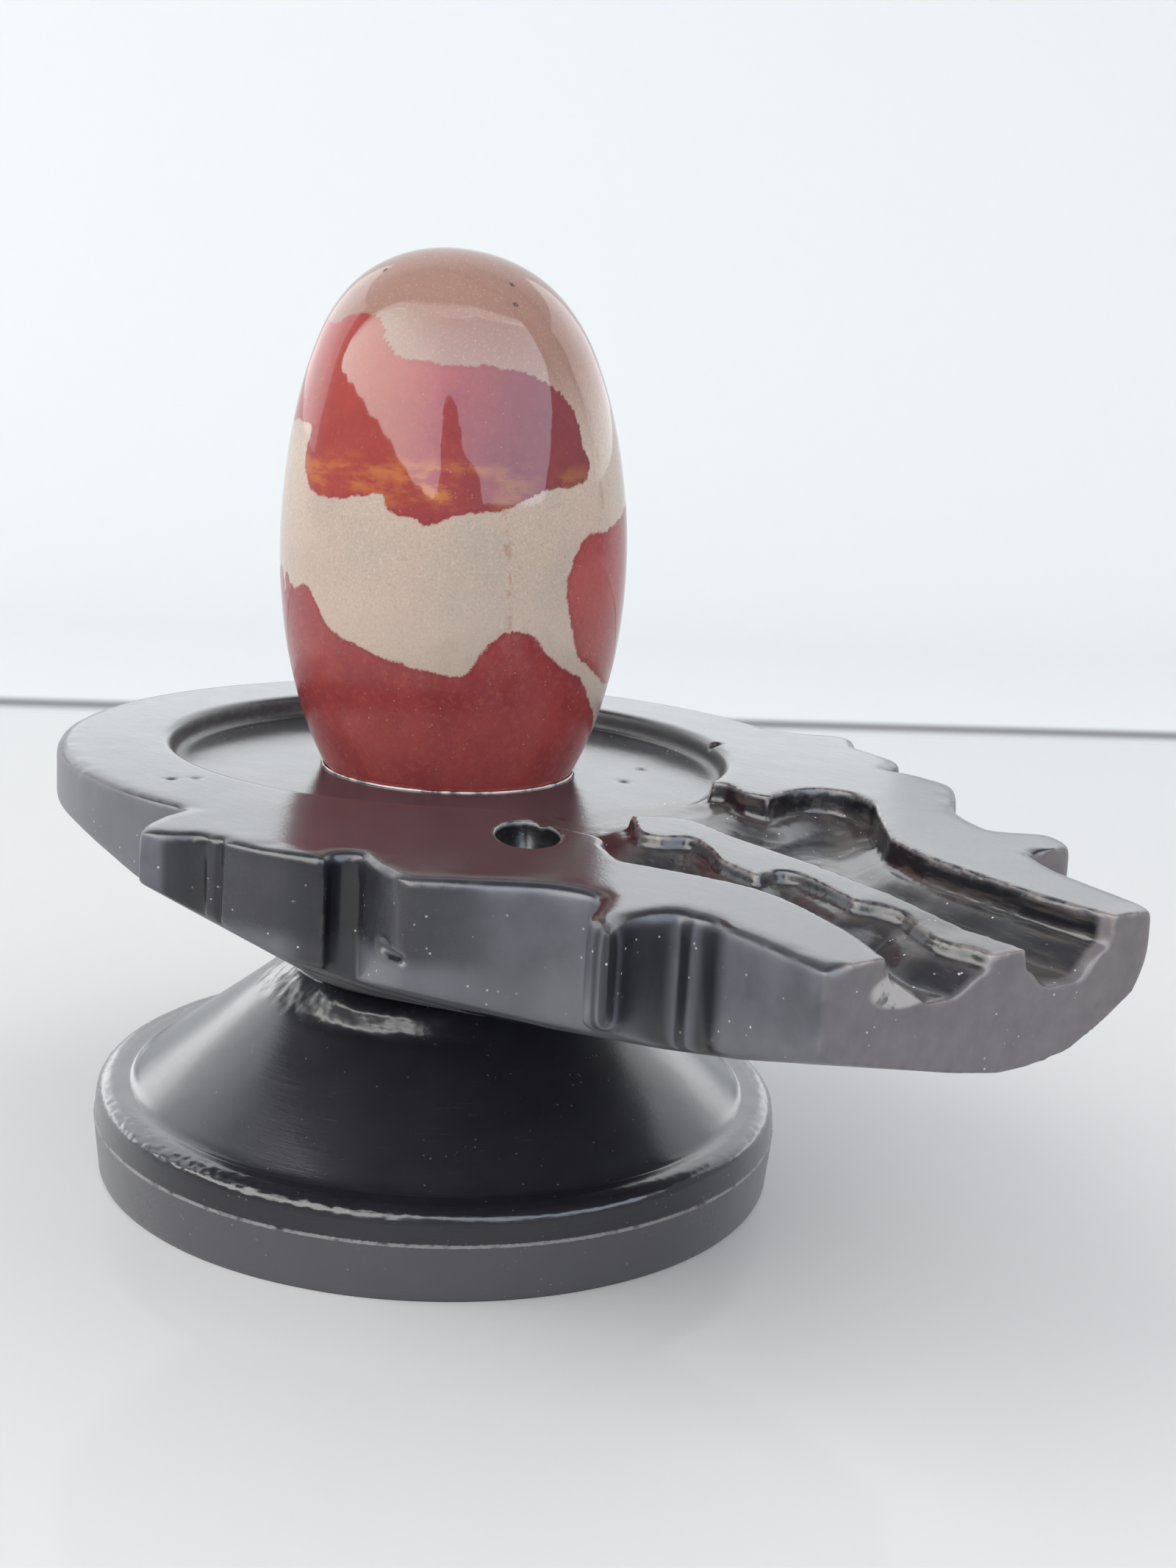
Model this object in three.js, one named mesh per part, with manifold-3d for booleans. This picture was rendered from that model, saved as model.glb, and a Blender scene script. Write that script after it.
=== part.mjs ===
// A polished river stone standing in the round seat of a carved black stone plate with a lobed pouring spout,
// which rests on a turned pedestal. Millimetres, +Z up, origin at the middle of the pedestal's underside,
// the spout along +X.
import * as THREE from 'three';
import { ConvexGeometry } from 'three/addons/geometries/ConvexGeometry.js';
import { mergeVertices } from 'three/addons/utils/BufferGeometryUtils.js';
import Module from 'manifold-3d';

const wasm = await Module();
wasm.setup();

// Levels above the table
const FOOT_EDGE_Z = 7.04;
const GROOVE_Z = 10.7;
const LIP_Z = 11.2;
const FLARE_Z = 24.6;
const NECK_Z = 27;
const PLATE_TOP_Z = 55.5;
const DISH_DEPTH = 3;
const DISH_FLOOR_Z = PLATE_TOP_Z - DISH_DEPTH;

// Pedestal radii
const FOOT_R = 44;
const FOOT_EDGE_R = 44.6;
const GROOVE_R = 40;
const LIP_R = 39.6;
const FLARE_R = 22.3;
const NECK_R = 19.6;

// Plate: a round disc with a spout
const DISC = { x: 0.92, y: -0.78, r: 48.85 };
const DISH = { x: -0.22, y: -0.31, r: 35.5, wallR: 34.9, floorR: 33 };
const OVERSHOOT = 1.5; // how far a cutter stands past the face it opens

// Stone: an egg on a small flat
const STONE = { x: -0.58, y: -0.85, z: 79.35, halfHeight: 37.35, r: 21.677 };
const STONE_REST_Z = 43;
const SEAT_GAP = 0.3;
// How the egg differs from an ellipsoid, by powers of the height u from -1 at its foot to 1 at its top
const STONE_FULLNESS = (u) => 1 + 0.0476 * u ** 2 + 0.0684 * u ** 3 + 0.1695 * u ** 4;
const STONE_BEND = (u) => -0.6325 * u - 0.4271 * u ** 2 - 0.4319 * u ** 3;
const BEND_SIDE = new THREE.Vector2(0.588, 0.809);

const TURNED_SIDES = 80;
const STONE_SIDES = 52;
const STONE_RINGS = 32;

// Spout outline, each list a smooth stretch between two sharp corners, from the disc to the spout's end
const FAR_EDGE = [
  [[10.6, 48.1], [13.7, 50.5], [16.3, 53.4], [18.2, 53.8], [20, 53.2], [23.7, 49.8]],
  [[23.7, 49.8], [29, 48.9], [31.4, 48.5], [34.1, 46.9], [36, 42.9]],
  [[36, 42.9], [40, 43.9], [45.8, 43.4], [50.1, 39.4], [55, 33.6], [59.5, 30.9], [64.2, 28.9]],
  [[64.2, 28.9], [66.4, 31.4], [68.6, 33.5], [71.9, 32.5], [73.7, 30.9]],
  [[73.7, 30.9], [73.3, 24.4]],
  [[73.3, 24.4], [77.1, 22.3], [81.1, 20.6], [86.3, 19.5], [92.5, 18.1], [94.3, 17]],
];
const NEAR_EDGE = [
  [[16.7, -47.3], [18.1, -50.6], [20.2, -53.6], [22.8, -55.5]],
  [[22.8, -55.5], [25.5, -52], [30.5, -50.6], [35.2, -49.1], [38.8, -46.4], [40.1, -41.9], [41, -40.6]],
  [[41, -40.6], [45, -41.6], [51, -42.2]],
  [[51, -42.2], [55.5, -36.8], [59.7, -31.1], [64.2, -28.9]],
  [[64.2, -28.9], [66.3, -31.5], [69.5, -34.6], [73.6, -35.4]],
  [[73.6, -35.4], [71.4, -30.1], [72.4, -25.5]],
  [[72.4, -25.5], [79.5, -25.7], [91.9, -26.6]],
];

// Underside of the plate: rings [radius, depth under the top] of the disc's bowl, then the spout's keel
const BOWL_RINGS = [[49, 6.2], [47, 8.3], [44.6, 10.4], [41.8, 12.9], [36.1, 17]];
const END_FACE = { near: [91.9, -26.6], far: [94.3, 17] };
const END_FACE_DEPTHS = [
  [-26.6, 8.5], [-17.6, 10.4], [-9.2, 12.5], [-3, 13.6], [1.3, 13.6], [6.5, 12.9],
  [11.7, 10.4], [15.8, 8], [17.4, 4.2],
];
const KEEL_DEPTHS = [[59, 28.6, 15], [69, 24, 15], [75, 19.4, 15], [83.4, 8.4, 14.8]];
const LOBE_DEPTHS = [
  [22.8, -56, 5.6], [39, -48, 10.5], [51, -43.5, 10.8], [73.6, -36, 9.4],
  [18, 54.5, 5.6], [34.5, 48, 10.5], [46, 44.5, 10.8], [70, 34.5, 9.4],
];

// Recess carved along the spout: a pool and channel on the far side, a groove on the near side
const RECESS_START = { x: 29, halfWidth: 24, depth: 3.2 };
const RECESS_END_X = 98;
const CHANNEL_MOUTH = { y: 5.4, halfWidth: 10.4, depth: 5.9 };
const GROOVE_MOUTH = { y: -12.4, halfWidth: 11.5, depth: 5 };
const TROUGH_SECTION = [[1, 0], [1, 0.45], [0.72, 0.85], [0.4, 1]]; // parts of the half width and depth
const CHANNEL_EDGE = [
  [[29, 18], [31.9, 15.7]],
  [[31.9, 15.7], [33.7, 16.6], [37.9, 15.5], [40.8, 16.4]],
  [[40.8, 16.4], [39.6, 21.2], [40.2, 25.2], [43.3, 27.5], [48.3, 26.3], [52.6, 22.5], [61.5, 14.9]],
  [[61.5, 14.9], [69, 12.2], [78.8, 11.1], [88.5, 10.6], [RECESS_END_X, 11.8]],
];
const TONGUE_BACK = [
  [[40.8, -5], [43.2, -1.5], [46.5, -0.1], [59.5, -1.4], [76.4, -2.7], [RECESS_END_X, -5.3]],
];
const TONGUE_FRONT = [
  [[40.8, -5], [42, -5.6], [47, -9], [49.8, -8.4], [51.5, -5.6], [56.6, -7.2], [64.2, -10.2], [66.4, -10.2]],
  [[66.4, -10.2], [66, -6.7], [68.1, -5.7], [74.1, -7.1], [81.4, -11.2], [87.8, -10.2]],
  [[87.8, -10.2], [88, -6.4], [89.3, -5.9], [91.9, -7.4], [RECESS_END_X, -9.6]],
];
const GROOVE_EDGE = [
  [[29, -19], [33, -17], [40, -16.5], [47, -15], [50, -17], [55.5, -19.3]],
  [[55.5, -19.3], [63.6, -15.7], [72.1, -13.8], [84.4, -16.5], [92.5, -19.9], [RECESS_END_X, -22.4]],
];

const PIT = { x: 43.6, y: -21, long: 5.6, wide: 3.6, deep: 2.4, turn: -0.62 };

const blackStone = { color: 0x25242a, roughness: 0.32, metalness: 0 };
const redStone = { color: 0xa3452f, roughness: 0.12, metalness: 0 };

// A closed geometry as a solid that can be cut and joined
function solid(geometry) {
  const bare = geometry.clone();
  bare.deleteAttribute('normal');
  bare.deleteAttribute('uv');
  const merged = mergeVertices(bare, 1e-4);
  const corners = merged.index.array;
  const triVerts = [];
  for (let i = 0; i < corners.length; i += 3) {
    const [a, b, c] = corners.slice(i, i + 3);
    if (a !== b && b !== c && c !== a) triVerts.push(a, b, c); // the poles of turned shapes leave empty ones
  }
  return new wasm.Manifold(new wasm.Mesh({
    numProp: 3,
    vertProperties: merged.attributes.position.array,
    triVerts: new Uint32Array(triVerts),
  }));
}

function mesh(name, body, look) {
  const data = body.getMesh();
  const geometry = new THREE.BufferGeometry();
  geometry.setAttribute('position', new THREE.BufferAttribute(data.vertProperties, 3));
  geometry.setIndex(new THREE.BufferAttribute(data.triVerts, 1));
  geometry.computeVertexNormals();
  const made = new THREE.Mesh(geometry, new THREE.MeshStandardMaterial(look));
  made.name = name;
  return made;
}

// A profile of [radius, height] from the axis and back to it, turned about the vertical
function turned(profile) {
  const points = profile.map(([r, z]) => new THREE.Vector2(r, z));
  return solid(new THREE.LatheGeometry(points, TURNED_SIDES).rotateX(Math.PI / 2));
}

// The points of several smooth stretches that follow each other
function trace(stretches) {
  const points = [];
  for (const stretch of stretches) {
    const corners = stretch.map(([x, y]) => new THREE.Vector2(x, y));
    const curve = corners.length === 2 ? new THREE.LineCurve(...corners) : new THREE.SplineCurve(corners);
    const steps = corners.length === 2 ? 1 : 3 * (corners.length - 1);
    points.push(...curve.getPoints(steps));
  }
  return points.filter((p, i) => i === 0 || p.distanceTo(points[i - 1]) > 1e-6);
}

function prism(points, bottom, top) {
  const shape = new THREE.Shape(points);
  const geometry = new THREE.ExtrudeGeometry(shape, { depth: top - bottom, bevelEnabled: false });
  return solid(geometry.translate(0, 0, bottom));
}

function ring(x, y, r, z) {
  const points = [];
  for (let i = 0; i < TURNED_SIDES; i += 1) {
    const angle = (i / TURNED_SIDES) * 2 * Math.PI;
    points.push(new THREE.Vector3(x + r * Math.cos(angle), y + r * Math.sin(angle), z));
  }
  return points;
}

function pedestal() {
  const chamfer = new THREE.QuadraticBezierCurve(
    new THREE.Vector2(FOOT_EDGE_R, FOOT_EDGE_Z),
    new THREE.Vector2(FOOT_EDGE_R - 1.4, GROOVE_Z - 0.6),
    new THREE.Vector2(GROOVE_R, GROOVE_Z),
  );
  const flare = new THREE.QuadraticBezierCurve(
    new THREE.Vector2(FLARE_R, FLARE_Z),
    new THREE.Vector2(NECK_R + 0.4, NECK_Z - 1),
    new THREE.Vector2(NECK_R, NECK_Z),
  );
  return turned([
    [0, 0],
    [FOOT_R, 0],
    ...chamfer.getPoints(6).map((p) => [p.x, p.y]),
    [LIP_R, GROOVE_Z - 0.1],
    [LIP_R, LIP_Z],
    ...flare.getPoints(5).map((p) => [p.x, p.y]),
    [0, NECK_Z],
  ]);
}

// The egg grown by a clearance on every side
function egg(clearance) {
  const geometry = new THREE.SphereGeometry(1, STONE_SIDES, STONE_RINGS).rotateX(Math.PI / 2);
  const position = geometry.attributes.position;
  const point = new THREE.Vector3();
  for (let i = 0; i < position.count; i += 1) {
    point.fromBufferAttribute(position, i);
    const u = point.z;
    const r = STONE.r * STONE_FULLNESS(u) + clearance;
    const bend = STONE_BEND(u);
    position.setXYZ(
      i,
      STONE.x + r * point.x + bend * BEND_SIDE.x,
      STONE.y + r * point.y + bend * BEND_SIDE.y,
      STONE.z + (STONE.halfHeight + clearance) * u,
    );
  }
  const below = new THREE.BoxGeometry(3 * STONE.r, 3 * STONE.r, STONE_REST_Z);
  return solid(geometry).subtract(solid(below.translate(0, 0, STONE_REST_Z / 2)));
}

// Everything between the flat top and the bowl and keel under it, without the outline
function plateBody() {
  const points = ring(0, 0, NECK_R, NECK_Z);
  for (const [r, depth] of BOWL_RINGS) points.push(...ring(DISC.x, DISC.y, r, PLATE_TOP_Z - depth));
  points.push(...ring(DISC.x, DISC.y, BOWL_RINGS[0][0], PLATE_TOP_Z));
  const [nearX, nearY] = END_FACE.near;
  const slant = (END_FACE.far[0] - nearX) / (END_FACE.far[1] - nearY);
  for (const [y, depth] of END_FACE_DEPTHS) {
    const x = nearX + (y - nearY) * slant;
    points.push(new THREE.Vector3(x, y, PLATE_TOP_Z - depth), new THREE.Vector3(x, y, PLATE_TOP_Z));
  }
  for (const [x, y, depth] of KEEL_DEPTHS) {
    points.push(new THREE.Vector3(x, y, PLATE_TOP_Z - depth), new THREE.Vector3(x, -y, PLATE_TOP_Z - depth));
  }
  for (const [x, y, depth] of LOBE_DEPTHS) {
    points.push(new THREE.Vector3(x, y, PLATE_TOP_Z - depth), new THREE.Vector3(x, y, PLATE_TOP_Z));
  }
  return solid(new ConvexGeometry(points));
}

function plateOutline() {
  const near = trace(NEAR_EDGE);
  const far = trace(FAR_EDGE).reverse();
  const from = Math.atan2(far.at(-1).y - DISC.y, far.at(-1).x - DISC.x);
  const to = Math.atan2(near[0].y - DISC.y, near[0].x - DISC.x) + 2 * Math.PI;
  const disc = new THREE.EllipseCurve(DISC.x, DISC.y, DISC.r, DISC.r, from, to).getPoints(64);
  return [...near, ...far, ...disc.slice(1, -1)];
}

function dish() {
  const top = PLATE_TOP_Z + OVERSHOOT;
  const foot = new THREE.QuadraticBezierCurve(
    new THREE.Vector2(DISH.floorR, DISH_FLOOR_Z),
    new THREE.Vector2(DISH.wallR - 0.2, DISH_FLOOR_Z),
    new THREE.Vector2(DISH.wallR, DISH_FLOOR_Z + 1),
  );
  const wall = foot.getPoints(4).map((p) => [p.x, p.y]);
  return turned([[0, DISH_FLOOR_Z], ...wall, [DISH.r, PLATE_TOP_Z], [DISH.r, top], [0, top]])
    .translate([DISH.x, DISH.y, 0]);
}

// A trough that deepens from the dish to the spout's end, with rounded bottom corners
function trough(mouth) {
  const points = [];
  for (const { x, halfWidth, depth } of [RECESS_START, { x: RECESS_END_X, ...mouth }]) {
    for (const side of [-1, 1]) {
      for (const [out, down] of TROUGH_SECTION) {
        const z = down === 0 ? PLATE_TOP_Z + OVERSHOOT : PLATE_TOP_Z - down * depth;
        points.push(new THREE.Vector3(x, mouth.y + side * out * halfWidth, z));
      }
    }
  }
  return solid(new ConvexGeometry(points));
}

function recess() {
  const top = PLATE_TOP_Z + OVERSHOOT;
  const bottom = PLATE_TOP_Z - 2 * CHANNEL_MOUTH.depth;
  const back = trace(TONGUE_BACK);
  const front = trace(TONGUE_FRONT);
  const start = new THREE.Vector2(RECESS_START.x, back[0].y);
  const channel = prism([start, ...back, ...trace(CHANNEL_EDGE).reverse()], bottom, top);
  const groove = prism([...trace(GROOVE_EDGE), ...front.reverse(), start], bottom, top);
  return channel.intersect(trough(CHANNEL_MOUTH)).add(groove.intersect(trough(GROOVE_MOUTH)));
}

function pit() {
  const scoop = new THREE.SphereGeometry(1, 24, 16).scale(PIT.long, PIT.wide, PIT.deep).rotateZ(PIT.turn);
  return solid(scoop.translate(PIT.x, PIT.y, PLATE_TOP_Z));
}

function plate() {
  return prism(plateOutline(), 0, PLATE_TOP_Z)
    .intersect(plateBody())
    .subtract(dish())
    .subtract(recess())
    .subtract(pit())
    .subtract(egg(SEAT_GAP));
}

const object = new THREE.Group();
object.add(mesh('pedestal', pedestal(), blackStone));
object.add(mesh('yoni_plate', plate(), blackStone));
object.add(mesh('stone', egg(0), redStone));

export default object;
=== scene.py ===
# A polished river stone standing on its carved black stone stand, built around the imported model.
# Metres, +Z up, the spout along +X. The dictionaries hold millimetres and degrees.
import math
from contextlib import contextmanager
import bpy
import numpy as np
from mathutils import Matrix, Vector


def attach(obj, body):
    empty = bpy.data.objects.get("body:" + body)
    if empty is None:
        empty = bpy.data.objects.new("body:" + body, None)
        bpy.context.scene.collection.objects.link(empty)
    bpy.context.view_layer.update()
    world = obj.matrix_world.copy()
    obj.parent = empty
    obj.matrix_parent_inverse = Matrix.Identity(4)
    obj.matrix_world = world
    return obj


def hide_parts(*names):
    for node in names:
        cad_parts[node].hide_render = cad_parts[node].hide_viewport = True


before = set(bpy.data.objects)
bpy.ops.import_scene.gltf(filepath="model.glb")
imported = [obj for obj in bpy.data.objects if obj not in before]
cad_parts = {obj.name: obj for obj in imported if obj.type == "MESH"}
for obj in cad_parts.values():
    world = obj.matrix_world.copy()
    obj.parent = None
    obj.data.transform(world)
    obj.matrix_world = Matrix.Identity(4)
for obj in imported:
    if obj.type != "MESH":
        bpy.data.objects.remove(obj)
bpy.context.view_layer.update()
mm = 0.001


# Helpers for pieces

def clear():
    bpy.ops.object.select_all(action="DESELECT")


def pick(piece):
    clear()
    piece.select_set(True)
    bpy.context.view_layer.objects.active = piece


def applyModifier(piece, kind, **settings):
    modifier = piece.modifiers.new(kind.lower(), kind)
    for key, value in settings.items():
        setattr(modifier, key, value)
    pick(piece)
    bpy.ops.object.modifier_apply(modifier=modifier.name)


def carve(piece, cutter, operation="DIFFERENCE"):
    applyModifier(piece, "BOOLEAN", operation=operation, solver="EXACT", object=cutter)
    bpy.data.objects.remove(cutter)


@contextmanager
def editMode():
    bpy.ops.object.mode_set(mode="EDIT")
    bpy.ops.mesh.select_all(action="SELECT")
    yield
    bpy.ops.object.mode_set(mode="OBJECT")


def settle(name):
    # the new primitive's place goes into its mesh
    piece = bpy.context.object
    piece.name = name
    bpy.ops.object.transform_apply(location=True, rotation=True, scale=True)
    return piece


def bringIn(name, data):
    made = bpy.data.objects.new(name, data)
    bpy.context.scene.collection.objects.link(made)
    return made


def meshOf(name, corners, faces=()):
    mesh = bpy.data.meshes.new(name)
    mesh.from_pydata(corners, [], faces)
    return bringIn(name, mesh)


def smooth(piece):
    pick(piece)
    bpy.ops.object.shade_smooth()


def faceOutwards(piece):
    pick(piece)
    with editMode():
        bpy.ops.mesh.remove_doubles(threshold=0.001 * mm)
        bpy.ops.mesh.normals_make_consistent(inside=False)


def turnUp(name, rings, sides, closeTop=False):
    # a turned shape: rings of (x, y, radius, height) in mm, each extruded from the one below
    rings = [[v * mm for v in ring] for ring in rings]
    x, y, radius, z = rings[0]
    clear()
    bpy.ops.mesh.primitive_circle_add(vertices=sides, radius=radius, fill_type="NGON", location=(x, y, z))
    piece = settle(name)
    with editMode():
        bpy.ops.mesh.select_mode(type="FACE")
        for below, (x, y, radius, z) in zip(rings, rings[1:]):
            step, grow = (x - below[0], y - below[1], z - below[3]), radius / below[2]
            bpy.ops.mesh.extrude_region_move(TRANSFORM_OT_translate={"value": step})
            bpy.ops.transform.resize(value=(grow, grow, 1), center_override=(x, y, z))
        if closeTop:
            bpy.ops.mesh.merge(type="CENTER")
    faceOutwards(piece)
    return piece


def blend(a, b, t):
    return a + (b - a) * t


def bendBetween(before, a, b, after, t):
    # a place on the smooth bend from a to b
    return 0.5 * (
        2 * a + (b - before) * t + (2 * before - 5 * a + 4 * b - after) * t ** 2
        + (3 * a - before - 3 * b + after) * t ** 3)


def trace(stretches, steps=6):
    # smooth stretches in mm, each going on from a sharp corner where the last one ended
    line, pts = [], []
    for stretch in stretches:
        pts = pts[-1:] + [np.array(p, float) for p in stretch]
        last = len(pts) - 1
        for i in range(last):
            before, after = pts[max(i - 1, 0)], pts[min(i + 2, last)]
            for t in np.arange(steps) / steps if last > 1 else (0,):
                line.append(bendBetween(before, pts[i], pts[i + 1], after, t))
        line.append(pts[-1])
    nearlySame = 0.01
    return [p for i, p in enumerate(line) if i == 0 or np.linalg.norm(p - line[i - 1]) > nearlySame]


def closedLoop(corners, steps=8):
    # a smooth closed line through its corners
    pts = np.array(corners, float)
    fours = [[pts[(i + k) % len(pts)] for k in (-1, 0, 1, 2)] for i in range(len(pts))]
    return [tuple(bendBetween(*four, t)) for four in fours for t in np.arange(steps) / steps]


def prism(name, outline, bottom, top):
    # a closed outline in mm, filled and pulled up
    curve = bpy.data.curves.new(name, "CURVE")
    curve.dimensions = "3D"
    spline = curve.splines.new("POLY")
    spline.points.add(len(outline) - 1)
    for point, (x, y) in zip(spline.points, outline):
        point.co = (x * mm, y * mm, bottom * mm, 1)
    spline.use_cyclic_u = True
    pick(bringIn(name, curve))
    bpy.ops.object.convert(target="MESH")
    piece = bpy.context.object
    with editMode():
        bpy.ops.mesh.edge_face_add()
        bpy.ops.mesh.extrude_region_move(TRANSFORM_OT_translate={"value": (0, 0, (top - bottom) * mm)})
    faceOutwards(piece)
    return piece


def hull(name, corners):
    # the skin stretched round a set of points in mm
    piece = meshOf(name, [[v * mm for v in corner] for corner in corners])
    pick(piece)
    with editMode():
        bpy.ops.mesh.convex_hull()
    faceOutwards(piece)
    return piece


def ringPoints(x, y, radius, z, sides=180):
    turn = [2 * math.pi * i / sides for i in range(sides)]
    return [(x + radius * math.cos(a), y + radius * math.sin(a), z) for a in turn]


def scoop(piece, place, size, turn):
    # an egg-shaped bite: place and half sizes in mm, turned about Z
    clear()
    bpy.ops.mesh.primitive_uv_sphere_add(
        segments=32, ring_count=20, radius=1, location=[v * mm for v in place],
        rotation=(0, 0, math.radians(turn)), scale=[v * mm for v in size])
    carve(piece, settle("bite"))


def roughen(piece, size, strength, where="", depth=2):
    # lets the surface wander in and out by a soft noise; size and strength in mm
    cloud = bpy.data.textures.new("cloud", "CLOUDS")
    cloud.noise_scale = size * mm
    cloud.noise_depth = depth
    strength *= mm
    applyModifier(piece, "DISPLACE", texture=cloud, strength=strength, mid_level=0.5, vertex_group=where)
    bpy.data.textures.remove(cloud)


def vectors(piece, kind):
    values = np.zeros(len(piece.data.vertices) * 3)
    piece.data.vertices.foreach_get(kind, values)
    return values.reshape(-1, 3)


def coordinates(piece):
    return vectors(piece, "co") / mm


def reshape(piece, points):
    piece.data.vertices.foreach_set("co", (points * mm).ravel())
    piece.data.update()


def keep(piece, name, values):
    attribute = piece.data.attributes.new(name, "FLOAT", "POINT")
    attribute.data.foreach_set("value", np.asarray(values, np.float32))


def group(piece, name, weights, steps=8):
    made = piece.vertex_groups.new(name=name)
    levels = np.round(np.clip(weights, 0, 1) * steps).astype(int)
    for level in range(1, steps + 1):
        made.add(np.flatnonzero(levels == level).tolist(), level / steps, "REPLACE")


def ease(value, low, high):
    t = np.clip((value - low) / (high - low), 0, 1)
    return t * t * (3 - 2 * t)


def inside(x, y, outline):
    # which points lie in a closed outline
    held = np.zeros(len(x), bool)
    for (xa, ya), (xb, yb) in zip(outline, outline[1:] + outline[:1]):
        if ya != yb:
            crosses = (ya > y) != (yb > y)
            held ^= crosses & (x < (xb - xa) * (y - ya) / (yb - ya) + xa)
    return held


def nearest(points, line, chunk=20000):
    # distance from each point to the closest of a line's points
    line = np.asarray(line, float)
    found = np.empty(len(points))
    for i in range(0, len(points), chunk):
        part = points[i:i + chunk]
        apart = ((part[:, None, :] - line[None, :, :]) ** 2).sum(2)
        found[i:i + chunk] = np.sqrt(apart.min(1))
    return found


def swelling(piece, passes):
    # how much each place stands out from what is round it: above 0 on edges, below 0 in corners
    mesh = piece.data
    pairs = np.zeros(len(mesh.edges) * 2, int)
    mesh.edges.foreach_get("vertices", pairs)
    a, b = pairs.reshape(-1, 2).T
    points, facing = coordinates(piece), vectors(piece, "normal")
    count = len(points)
    degree = np.bincount(a, minlength=count) + np.bincount(b, minlength=count)

    def spread(values):
        return (np.bincount(a, values[b], count) + np.bincount(b, values[a], count)) / degree

    middle = np.column_stack([spread(points[:, i]) for i in range(3)])
    out = ((points - middle) * facing).sum(1)
    for _ in range(passes):
        out = 0.5 * out + 0.5 * spread(out)
    return out


# Helpers for materials

class Wire:
    # a node's output that Python's own maths works on
    def __init__(self, graph, socket):
        self.graph, self.socket = graph, socket

    def maths(self, operation, *others):
        return self.graph.node("ShaderNodeMath", {"operation": operation}, dict(enumerate(others)))

    def __add__(self, other): return self.maths("ADD", self, other)
    def __radd__(self, other): return self.maths("ADD", other, self)
    def __sub__(self, other): return self.maths("SUBTRACT", self, other)
    def __rsub__(self, other): return self.maths("SUBTRACT", other, self)
    def __mul__(self, other): return self.maths("MULTIPLY", self, other)
    def __rmul__(self, other): return self.maths("MULTIPLY", other, self)
    def __truediv__(self, other): return self.maths("DIVIDE", self, other)
    def __pow__(self, other): return self.maths("POWER", self, other)
    def least(self, other): return self.maths("MINIMUM", self, other)
    def most(self, other): return self.maths("MAXIMUM", self, other)


class Graph:
    def __init__(self, name):
        self.material = bpy.data.materials.new(name)
        self.material.use_nodes = True
        self.tree = self.material.node_tree
        self.tree.nodes.clear()
        self.place = self.node("ShaderNodeTexCoord", {}, {}, "Object")

    def node(self, kind, settings, sockets, out=0):
        made = self.tree.nodes.new(kind)
        for key, value in settings.items():
            setattr(made, key, value)
        for key, value in sockets.items():
            if isinstance(value, Wire):
                self.tree.links.new(value.socket, made.inputs[key])
            elif isinstance(value, tuple) and len(value) == 3 and made.inputs[key].type == "RGBA":
                made.inputs[key].default_value = (*value, 1)
            else:
                made.inputs[key].default_value = value
        return Wire(self, made.outputs[out])

    def noise(self, size, detail=3, roughness=0.5, stretch=None):
        # size in mm of one blotch; stretch makes it longer along an axis
        place = self.place
        if stretch:
            scale = tuple(1 / s for s in stretch)
            place = self.node("ShaderNodeMapping", {}, {"Vector": place, "Scale": scale})
        return self.node("ShaderNodeTexNoise", {}, {
            "Vector": place, "Scale": 1 / (size * mm), "Detail": detail, "Roughness": roughness}, "Fac")

    def cells(self, size):
        # distance from the middle of the nearest cell
        sockets = {"Vector": self.place, "Scale": 1 / (size * mm)}
        return self.node("ShaderNodeTexVoronoi", {}, sockets, "Distance")

    def between(self, value, low, high):
        # 0 below low, 1 above high, eased
        return self.node("ShaderNodeMapRange", {"interpolation_type": "SMOOTHSTEP"}, {
            "Value": value, "From Min": low, "From Max": high})

    def mix(self, factor, a, b):
        return self.node("ShaderNodeMix", {"data_type": "RGBA"}, {0: factor, 6: a, 7: b}, 2)

    def axis(self, index, source=None):
        return self.node("ShaderNodeSeparateXYZ", {}, {0: source or self.place}, index)

    def paint(self, colour, *layers):
        # each layer is where it lies and its colour, and goes over those before it
        for where, over in layers:
            colour = self.mix(where, colour, over)
        return colour

    def fromMiddle(self, x, y, middle=(0, 0)):
        # the square of the distance from an upright line
        x, y = x - middle[0], y - middle[1]
        return x * x + y * y

    def read(self, name):
        return self.node("ShaderNodeAttribute", {"attribute_name": name}, {}, "Fac")

    def facing(self, index):
        normal = self.node("ShaderNodeNewGeometry", {}, {}, "Normal")
        return self.axis(index, normal)

    def bump(self, height, distance, strength, under=None):
        sockets = {"Height": height, "Distance": distance * mm, "Strength": strength}
        if under:
            sockets["Normal"] = under
        return self.node("ShaderNodeBump", {}, sockets)

    def output(self, shader):
        surface = self.tree.nodes.new("ShaderNodeOutputMaterial").inputs["Surface"]
        self.tree.links.new(shader.socket, surface)

    def finish(self, **sockets):
        named = {key.replace("_", " "): value for key, value in sockets.items()}
        self.output(self.node("ShaderNodeBsdfPrincipled", {}, named))
        return self.material


# Camera, stage and lights

view = {
    "place": (202.59, -147.19, 106.03),
    "turn": (77.5796, -3.3519, 50.7442),
    "lens": 45.67, "sensor": 36,
    "azimuth": -36,   # where the camera stands round the object
}
stage = {
    "wallDirection": (0.5063, 0.8624),
    "wallOffset": 850, "wallTop": 3400, "sweep": 380, "wide": 2800,
    "seamOffset": 299, "gap": 27,
    "ringRadius": 2900, "ringHeight": 5000,
    "table": (0.57, 0.57, 0.57), "wall": (0.63, 0.655, 0.66),
    "ring": (0.8, 0.83, 0.85), "seamShadow": (0.19, 0.19, 0.195),
}
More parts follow.
